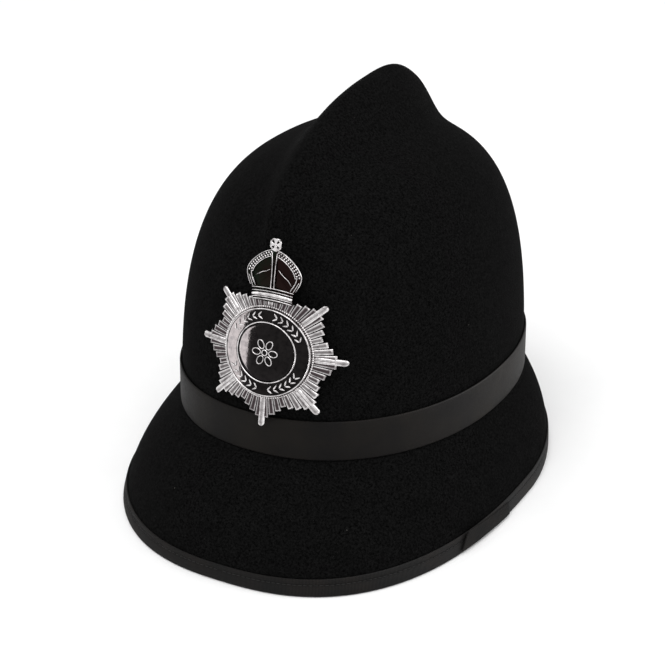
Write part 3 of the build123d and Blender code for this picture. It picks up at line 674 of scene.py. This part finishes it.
lower, upper = [], []
for x, v, up in rings:
    roof = dome_height(x, v, 4.9)
    lower.append(to_row(x, v, np.minimum(125.5 + up, roof - 0.6)))
    upper.append(to_row(x, v, roof))
pad = piece("crown_pad_foam", [grid(lower + upper[::-1])], foam, "crown_pad")


# Front plate: one chromed pressing made of a star, a ring, a disc and a crown, bowed round the front.
# The ring carries plain laurel leaves and the disc a plain rosette; two posts hold it through the wall.
plate_place = np.array([8.1, -111.0, 60.2])
plate_turn, plate_lean = math.radians(2.3), math.radians(10.8)
plate_side = np.array([math.cos(plate_turn), math.sin(plate_turn), 0])
plate_out = aim(plate_turn, plate_lean)
plate_up = np.cross(plate_out, plate_side)
star_squash = 0.944


def on_plate(px, py, height):
    """A place on the plate (across, up, off its back), bent round a cylinder of 100 mm radius."""
    px, py, height = np.broadcast_arrays(px, py, height)
    depth = np.sqrt((100 + height) ** 2 - px ** 2) - 100
    flat = plate_place + px[..., None] * plate_side + py[..., None] * plate_up
    flat = flat + depth[..., None] * plate_out
    return to_row(*np.moveaxis(flat, -1, 0))


def star_point(radius, angle):
    """Across and up on the plate for a radius and an angle in degrees from the star's top; the star is a
    little flattened."""
    turn = np.radians(angle)
    return np.stack([radius * np.sin(turn), star_squash * radius * np.cos(turn)], -1)


def star_place(radius, angle, height):
    """The place of a star's point at a height."""
    return on_plate(*np.moveaxis(star_point(radius, angle), -1, 0), height)


def slab(outline, low, high, edge=0.25, middle=None):
    """A flat piece with soft upper edges, from an outline on the plate."""
    outline = np.asarray(outline, float)
    middle = outline.mean(0) if middle is None else np.asarray(middle, float)
    away = outline - middle
    inward = away / np.linalg.norm(away, axis=1)[:, None]
    rows = []
    for inset, height in ((0, low), (0, high - edge), (0.3 * edge, high - 0.3 * edge), (edge, high)):
        place = outline - inset * inward
        rows.append(on_plate(place[:, 0], place[:, 1], height))
    return grid(rows)


def wire(path, low, high, half_width, closed=False, taper=0):
    """A half-round raised line along a path on the plate, tapered or rounded at its ends."""
    path = np.asarray(path, float)
    if closed:
        ahead = np.roll(path, -1, 0) - np.roll(path, 1, 0)
    else:
        ahead = np.gradient(path, axis=0)
    ahead /= np.linalg.norm(ahead, axis=1)[:, None]
    side = np.stack([-ahead[:, 1], ahead[:, 0]], 1)
    width = np.full(len(path), float(half_width))
    if not closed:
        width *= 1 - taper * np.abs(np.linspace(-1, 1, len(path))) ** 8
    spread = np.array([-1, -1, -0.85, -0.5, 0, 0.5, 0.85, 1, 1])
    rise = np.array([0, 0.25, 0.62, 0.92, 1, 0.92, 0.62, 0.25, 0])
    place = path[:, None] + side[:, None] * (width[:, None] * spread)[..., None]
    rows = on_plate(place[..., 0], place[..., 1], low + (high - low) * rise)
    return grid(rows.transpose(1, 0, 2), loop=True) if closed else grid(rows)


def beads(places, heights, radius):
    """Small round beads standing on the plate."""
    circle = np.linspace(0, 2 * np.pi, 8, endpoint=False)
    tilt = np.radians([[-70], [-35], [0], [30], [60]])
    rings = np.stack(np.broadcast_arrays(
        np.cos(tilt) * np.cos(circle), np.cos(tilt) * np.sin(circle), np.sin(tilt)), -1)
    places = np.asarray(places)
    spots = on_plate(places[:, 0], places[:, 1], heights)
    size = np.broadcast_to(radius, len(places))
    return copies(grid(rings), spots, np.eye(3) * size[:, None, None])


def chromed(name, bright, shade_and_haze, roughness):
    """Chromium plate: bright where the tone is 0, and darker and warmer where it is 1. The tone is painted
    light: painted shade in the valleys, and painted reflections and highlights; noise also darkens it in
    patches of haze.
    """
    material, shader, where = new_material(name, roughness, Metallic=1.0)
    tone = add_node(shader.id_data, "Attribute", attribute_name="tone").outputs["Fac"]
    haze = noise(where, 3.0, 5, 0.65)
    paint(shader, ramp(haze, 0.35, 0.9), blend_colours(tone, bright, shade_and_haze), shade_and_haze)
    shader.id_data.links.new(span(haze, 0.6 * roughness, 1.8 * roughness), shader.inputs["Roughness"])
    add_bump(shader, noise(where, 1.6, 3), 0.02)
    return material


# Each plate's second colour is its painted shade and darker painted reflection, and also its haze.
bright_chrome = chromed("chromium plate, bright", "#e4e1e1", "#40383a", 0.12)
# This plate's dark base colours are painted dark reflections, standing in for the dark surroundings that its
# grounds, ring floor and disc would mirror.
painted_dark_chrome = chromed("chromium plate, dark reflections", "#211f1f", "#0d0c0d", 0.07)

# Star: a ground painted with dark reflections, and 7 flutes with raised edges between every two of its 8
# round-ended fingers
flute_step = 360 / 56
outline, bars = [], []
for finger in range(8):
    for flute in range(7):
        middle = finger * 45 + (flute + 0.5) * flute_step
        # Painted reflections: each flute is lighter near four angles round the star, where bright reflections
        # fall, and darker away from them.
        nearest = min(abs((middle - bright + 180) % 360 - 180) for bright in (70, 132, 226, 318))
        shade = 0.45 * min(nearest / 26, 1) ** 2 - 0.15
        reach = 32.2 + 6.6 * abs(2 * (flute + 0.5) / 7 - 1)
        for offset in (-0.499, -0.25, 0, 0.25, 0.499):
            outline.append((reach, middle + offset * flute_step))
        shares = np.array([-0.43, -0.43, -0.39, -0.30, -0.15, 0, 0.15, 0.30, 0.39, 0.43, 0.43])
        rise = np.array([0.5, 1.5, 1.86, 1.84, 1.62, 1.54, 1.62, 1.84, 1.86, 1.5, 0.5])
        # Painted shade and highlight across each flute: dark in its valley and at its sides, bright on its
        # raised edges.
        tone = np.array([0.9, 0.3, 0, 0.2, 0.8, 0.9, 0.8, 0.2, 0, 0.3, 0.9])
        radii = np.array([24.0, 27.0, 30.0, reach - 1.1, reach - 0.75, reach - 0.3, reach])
        drop = np.array([0, 0, 0, 0, -0.12, 0, 0.35])
        fill = np.array([1, 1, 1, 1, 1, 1, 0.94])
        angle = middle + flute_step * shares * fill[:, None]
        rows = star_place(radii[:, None], angle, rise - drop[:, None])
        # Painted highlights: the flute's dark parts are lightened near its end.
        ends = np.array([0, 0, 0, 0, -0.6, -0.7, 0])[:, None] * (tone > 0.5)
        bars.append(grid(rows, tone=tone + ends + shade))
outline = np.array(outline)
rows = [star_place(outline[:, 0] * share, outline[:, 1], height)
        for share, height in ((0.7, 0.02), (1, 0.0), (1, 0.85), (0.992, 1.0), (0.9, 1.0), (0.7, 1.0))]
piece("star_ground", [grid(rows)], painted_dark_chrome, "star_plate", smooth=False)
piece("star_flutes", bars, bright_chrome)
fingers = []
for finger in range(8):
    heading = star_point(1, 45 * finger)
    length = np.linalg.norm(heading)
    heading /= length
    side = np.array([heading[1], -heading[0]])
    along = np.concatenate([[24.2 * length, 30 * length], (43.4 - 1.9) * length + 1.9 * np.sin(
        np.linspace(0, 1.45, 8))])
    width = np.concatenate([[1.9, 1.9], 1.9 * np.cos(np.linspace(0, 1.45, 8))])
    spread = np.array([-1, -1, -0.86, -0.6, -0.3, 0, 0.3, 0.6, 0.86, 1, 1])
    rise = np.array([0.0, 0.9, 1.6, 2.0, 1.75, 1.65, 1.75, 2.0, 1.6, 0.9, 0.0])
    place = along[:, None, None] * heading + (width[:, None] * spread)[..., None] * side
    # Painted shade and highlight across each finger: darker in its middle and at its edges, bright on its two
    # ridges.
    tone = np.array([0.4, 0.2, 0, 0, 0.45, 0.6, 0.45, 0, 0, 0.2, 0.4])
    fingers.append(grid(on_plate(place[..., 0], place[..., 1], rise * (0.4 + 0.6 * (width[:, None] / 1.9))),
                        tone=np.broadcast_to(tone, (10, 11))))
piece("star_fingers", fingers, bright_chrome)
pearl_places = star_point(26.1, np.arange(0, 360, 360 / 128))
piece("star_pearls", [beads(pearl_places, 2.0, 0.62)], bright_chrome)

# Ring: two bright rims round a floor painted with dark reflections, with laurel leaves on it above and below
profile = ((25.2, 1.1), (25.2, 3.3), (25.1, 3.65), (24.85, 3.8), (24.6, 3.65), (24.45, 3.2), (24.4, 2.7),
           (17.7, 2.7), (17.65, 3.2), (17.5, 3.65), (17.25, 3.8), (17.0, 3.65), (16.85, 3.3), (16.8, 1.1))
angles = np.arange(0, 360, 2.25)
rows = [star_place(radius, angles, height) for radius, height in profile]
piece("ring_rims", [grid(rows, loop=True)], bright_chrome, "star_ring")
rows = [star_place(radius, angles, height)
        for radius, height in ((24.6, 3.0), (24.5, 3.24), (24.35, 3.29), (24.0, 3.3), (21, 3.3), (18.1, 3.3),
                               (17.75, 3.29), (17.6, 3.24), (17.5, 3.0))]
ring_floor = piece("ring_floor", [grid(rows, loop=True)], painted_dark_chrome)
plate_pieces.objects.link(ring_floor)


def turned(long, wide, angle):
    """A flat shape's points, given along and across its own line, with that line at an angle from the top."""
    sine, cosine = np.sin(angle), np.cos(angle)
    return np.stack([long * sine + wide * cosine, long * cosine - wide * sine], 1)


t = np.linspace(0, 2 * np.pi, 14, endpoint=False)
long, wide = 1.55 * np.cos(t), 0.42 * np.sin(t) * (1 - 0.35 * np.cos(t))
leaves = []
for first, last, lean in ((-60, -12, 1), (12, 60, -1), (120, 168, -1), (192, 240, 1)):
    for angle in np.linspace(first, last, 6):
        for side in (-1, 1):
            swing = np.radians(angle + lean * 90 - side * lean * 38)
            leaf = star_point(21.2 + 1.15 * side, angle) + turned(long, wide, swing)
            leaves.append(slab(leaf, 3.2, 3.72, 0.22))
piece("ring_leaves", leaves, bright_chrome)

# Disc: a domed mirror painted with dark reflections, and a small plain rosette
angles = np.arange(0, 360, 3.0)
rows = [star_place(radius, angles, height)
        for radius, height in ((9, 1.2), (16.3, 1.15), (16.55, 1.5), (16.5, 2.9), (16.2, 3.1))]
rows += [star_place(radius, angles, 3.2 + 0.45 * (1 - (radius / 16.2) ** 2))
         for radius in np.linspace(15.9, 0.4, 16)]
disc_dome = piece("disc_dome", [grid(rows)], painted_dark_chrome, "star_boss")
plate_pieces.objects.link(disc_dome)
t = np.linspace(0, 2 * np.pi, 22, endpoint=False)
rosette = []
for petal in range(6):
    path = turned(4.9 + 2.5 * np.cos(t), 1.7 * np.sin(t), math.radians(60 * petal + 30))
    rosette.append(wire(path, 3.3, 4.1, 0.30, closed=True))
circle = np.stack([1.5 * np.sin(t), 1.5 * np.cos(t)], 1)
rosette.append(wire(circle, 3.3, 4.3, 0.38, closed=True))
piece("disc_rosette", rosette, bright_chrome)


# Crown over the star: a ground painted with dark reflections, with two pearled arches, a double middle
# bar, a plain two-line band at its foot and a small cross with flared arms on top.
def hermite(start, end, leave, arrive, count=14):
    """A smooth curve between two points with a given direction at each, in steps of equal parameter."""
    start, end, leave, arrive = (np.asarray(value, float) for value in (start, end, leave, arrive))
    t = np.linspace(0, 1, count)[:, None]
    return ((1 + 2 * t) * (1 - t) ** 2 * start + t * (1 - t) ** 2 * leave
            + t * t * (3 - 2 * t) * end + t * t * (t - 1) * arrive)


crown_shift = np.array([1.3, 0])
side_curve = hermite((11.7, 33.3), (15.8, 42.6), (6, 7), (0, 10))
arch_curve = hermite((15.8, 42.6), (0, 55.6), (0, 13), (-19, 0), 22)
right_half = np.vstack([[(11.7, 27.3)], side_curve, arch_curve[1:]])
left_half = right_half[::-1][1:] * (-1, 1)
tiara = np.vstack([right_half, left_half])
# The windows' dark ground is painted with reflections, greenish on one side and brownish on the other
ground = slab(tiara + crown_shift, 2.0, 3.0, middle=(1.3, 41))
ground = (*ground[:4], (ground[0][:, 0] > ground[0][:, 0].mean()).astype(float))
window_reflection_chrome = chromed("chromium plate, tinted reflections", "#101d15", "#1e1413", 0.1)
piece("crown_ground", [ground], window_reflection_chrome, "badge_crown")
lines, pearls = [], []
for side in (-1, 1):
    outer_line = np.vstack([side_curve[3:], arch_curve[1:-1]])
    inner_line = np.vstack([side_curve[4:-1] - (2.4, -0.6), arch_curve[:-2] + (
        np.array([0, 41]) - arch_curve[:-2]) * 0.22])
    lines.append(wire(outer_line * (side, 1) + crown_shift, 2.8, 3.9, 0.26, taper=0.5))
    lines.append(wire(inner_line * (side, 1) + crown_shift, 2.8, 3.9, 0.3, taper=0.5))
    for share, shift in ((0.07, 0.0), (0.155, 0.5)):
        line = arch_curve + (np.array([0, 41]) - arch_curve) * share
        run = run_along(line)
        at = np.arange(0.4 + shift * 1.6, run[-1] - 1.4, 1.6)
        pearls.append(points_at(at, run, line) * (side, 1) + crown_shift)
    for start, end in (((11.7, 34.4), (14.6, 40.2)), ((10.2, 35.0), (12.4, 39.2))):
        share = np.linspace(0, 1, 6)[:, None]
        line = np.array(start) * (1 - share) + np.array(end) * share
        lines.append(wire(line * (side, 1) + crown_shift, 2.8, 3.7, 0.27, taper=0.4))
    bar = np.array([(1.0, 34.5), (0.85, 40.0), (1.0, 48.0), (1.5, 54.0)])
    lines.append(wire(bar * (side, 1) + crown_shift, 2.8, 3.9, 0.3))
    slim = np.array([(2.6, 45.4), (4.2, 43.6), (6.4, 41.8), (8.6, 40.4), (10.4, 38.0)])
    if side < 0:
        slim = np.array([(-2.2, 45.0), (-4.4, 43.6), (-6.4, 43.0), (-8.4, 41.8), (-10.4, 40.8)])
    lines.append(wire(slim + crown_shift, 2.8, 3.4, 0.22, taper=0.4))
bow = np.linspace(-1, 1, 24)
for height, half, thick, top in ((27.9, 11.5, 0.42, 3.9), (29.2, 11.6, 0.36, 4.0), (30.6, 11.7, 1.05, 4.5),
                                 (32.4, 11.8, 0.3, 4.1), (34.0, 12.2, 0.3, 3.9)):
    line = np.stack([half * bow, height + 0.9 * (1 - bow ** 2)], 1)
    lines.append(wire(line + crown_shift, 2.6, top, thick, taper=0.3))
piece("crown_lines", lines, bright_chrome)
piece("crown_pearls", [beads(np.vstack(pearls), 3.3, 0.56)], bright_chrome)
arms = [slab(np.array([(-1.0, 54.8), (1.0, 54.8), (0.8, 56.2), (-0.8, 56.2)]) + crown_shift, 2.0, 3.6)]
cross_middle = np.array([0, 58.4]) + crown_shift
for quarter in range(4):
    sine, cosine = math.sin(quarter * math.pi / 2), math.cos(quarter * math.pi / 2)
    arm = np.array([(-0.5, 0.5), (0.5, 0.5), (0.95, 1.8), (2.2, 2.9), (1.1, 3.3), (0, 3.15), (-1.1, 3.3),
                    (-2.2, 2.9), (-0.95, 1.8)]) @ [(cosine, sine), (-sine, cosine)]
    arms.append(slab(arm + cross_middle, 2.1, 3.7, 0.35))
piece("crown_cross", arms, bright_chrome)
corner = np.array([(0, 0), (2.1, 2.1), (-2.1, 2.1), (2.1, -2.1), (-2.1, -2.1)]) + cross_middle
piece("crown_cross_pearls", [beads(corner, 3.3, np.array([0.8, 0.5, 0.5, 0.5, 0.5]))], bright_chrome)
cross_ground = np.array([(-2.9, -2.9), (2.9, -2.9), (2.9, 2.9), (-2.9, 2.9)]) + cross_middle
piece("crown_cross_ground", [slab(cross_ground, 2.05, 2.7)], painted_dark_chrome)

# Fixings of the plate inside the wall: leather washers under brass nuts on two brazed posts
strap_leather = grained_leather("black bridle leather", 0.42, 0.45, 1100, 0.10, 10,
                                ("#0b0a0a", "#151312", "#211d1a"), 0.05, (9, 0.2))
washers = []
circle = np.linspace(0, 2 * np.pi, 40, endpoint=False)
for post in (-12.0, 22.0):
    middle = plate_place + post * plate_up
    rows = []
    for radius, depth in ((1.75, 9.2), (2.2, 9.4), (5.0, 9.4), (5.45, 9.1), (5.5, 8.6), (5.4, 7.6),
                          (1.75, 7.6)):
        spot = middle + radius * (np.cos(circle)[:, None] * plate_side + np.sin(circle)[:, None] * plate_up)
        rows.append(to_row(*(spot - depth * plate_out).T))
    washers.append(grid(rows, loop=True))
piece("post_washers", washers, strap_leather, "badge_washers")
brass, shader, where = new_material("turned brass", 0.3, Metallic=1.0)
paint(shader, ramp(noise(where, 4, 5), 0.35, 0.8), "#d9b260", "#8a6a34")
add_bump(shader, noise(where, 0.8, 3), 0.03)
cad_finish(brass, "badge_posts", "badge_nuts", "anchor_rivets")


# Chin strap: black bridle leather stowed inside the brim's front, from stud to stud. Its end is
# doubled back on the wearer's left through a leather keeper and a plated steel slide.
strap_level = -10.0


def strap_part(start, end, inset, round_ends):
    """A stretch of the strap between two angles from the front: soft edges and, if asked, rounded ends."""
    turn = np.linspace(start, end, 110)
    shape_in = np.array([0.25, 0, 0, 0.1, 0, 0, 0.25, 1.55, 1.8, 1.8, 1.7, 1.8, 1.8, 1.55]) + inset
    shape_up = np.array([6.9, 6.5, 5.6, 5.3, 5.0, -6.5, -6.9, -6.9, -6.5, 5.0, 5.3, 5.6, 6.5, 6.9])
    x, v = foot_oval(turn[:, None], shape_in)
    run = np.concatenate([[0], np.cumsum(np.hypot(np.diff(x[:, 0]), np.diff(v[:, 0])))])
    near_end = np.minimum(run, run[-1] - run) if round_ends else np.full(len(run), 7.0)
    shrink = np.sqrt(np.clip(1 - (1 - np.clip(near_end / 7.0, 0, 1)) ** 2, 0.02, 1))[:, None]
    return grid(to_row(x, v, strap_level + shape_up * shrink))


loop = strap_part(-1.675, 1.675, 6.0, True)
strap = piece("chin_strap_leather", [loop], strap_leather, "chin_strap", body="strap")
doubled = strap_part(0.60, 1.165, 8.0, False)
piece("strap_end_leather", [doubled], strap_leather, "strap_tail", body="strap")
for name, depth, sign, turn in (("outer", 5.97, 1, np.linspace(-1.55, 1.55, 160)),
                                ("inner", 7.83, -1, np.linspace(-1.5, 0.55, 120))):
    for edge, height in (("low", -5.2), ("high", 5.2)):
        path = foot_row(turn, depth, strap_level + height)
        stitch_row(f"strap_stitches_{name}_{edge}", path, sign * facing_out(path), 2.6, 2.0, 0.34, thread,
                   body="strap")
ends = foot_row(math.radians(60) + np.array([-0.01, 0.01]), 7.9, strap_level)
middle, heading = ends.mean(0), ends[1] - ends[0]
heading /= np.linalg.norm(heading)
upward = np.array([0, math.sin(crown_lean), math.cos(crown_lean)])
outward = np.cross(heading, upward)
outward *= np.sign(outward @ (middle - (0, crown_middle, middle[2])))


def loop_section(wide, tall):
    """A box with round corners, as |x/a|^8 + |y/b|^8 = 1."""
    angle = np.linspace(0, 2 * np.pi, 56, endpoint=False)
    total = (np.abs(np.cos(angle)) / wide) ** 8 + (np.abs(np.sin(angle)) / tall) ** 8
    radius = total ** (-1 / 8)
    return radius * np.cos(angle), radius * np.sin(angle)


rows = []
for grow, along in ((0.18, -3.3), (0.18, 3.3), (0.3, 3.5), (0.7, 3.5), (0.92, 3.25), (0.95, 2.6),
                    (0.95, -2.6), (0.92, -3.25), (0.7, -3.5), (0.3, -3.5)):
    wide, tall = loop_section(1.95 + grow, 7.0 + grow)
    rows.append(middle + along * heading + wide[:, None] * outward + tall[:, None] * upward)
piece("keeper_leather", [grid(rows, loop=True)], strap_leather, "strap_keeper", body="strap")
steel, shader, where = new_material("plated steel, brushed", 0.28, Metallic=1.0)
drawn_out = add_node(shader.id_data, "Mapping", {"Vector": where, "Scale": (300, 300, 4000)})
grain = noise(drawn_out.outputs["Vector"], 1000, 2.0)
paint(shader, grain, "#8f9092", "#c9cacc")
add_bump(shader, grain, 0.015)
cad_finish(steel, "strap_slide", "strap_stud_left", "strap_stud_right")
nylon, shader, where = new_material("moulded nylon, black", 0.5, Specular_IOR_Level=0.4)
mould = noise(where, 0.9, 4)
paint(shader, mould, "#141414", "#222222")
add_bump(shader, mould, 0.04)
cad_finish(nylon, "strap_anchor_left", "strap_anchor_right")
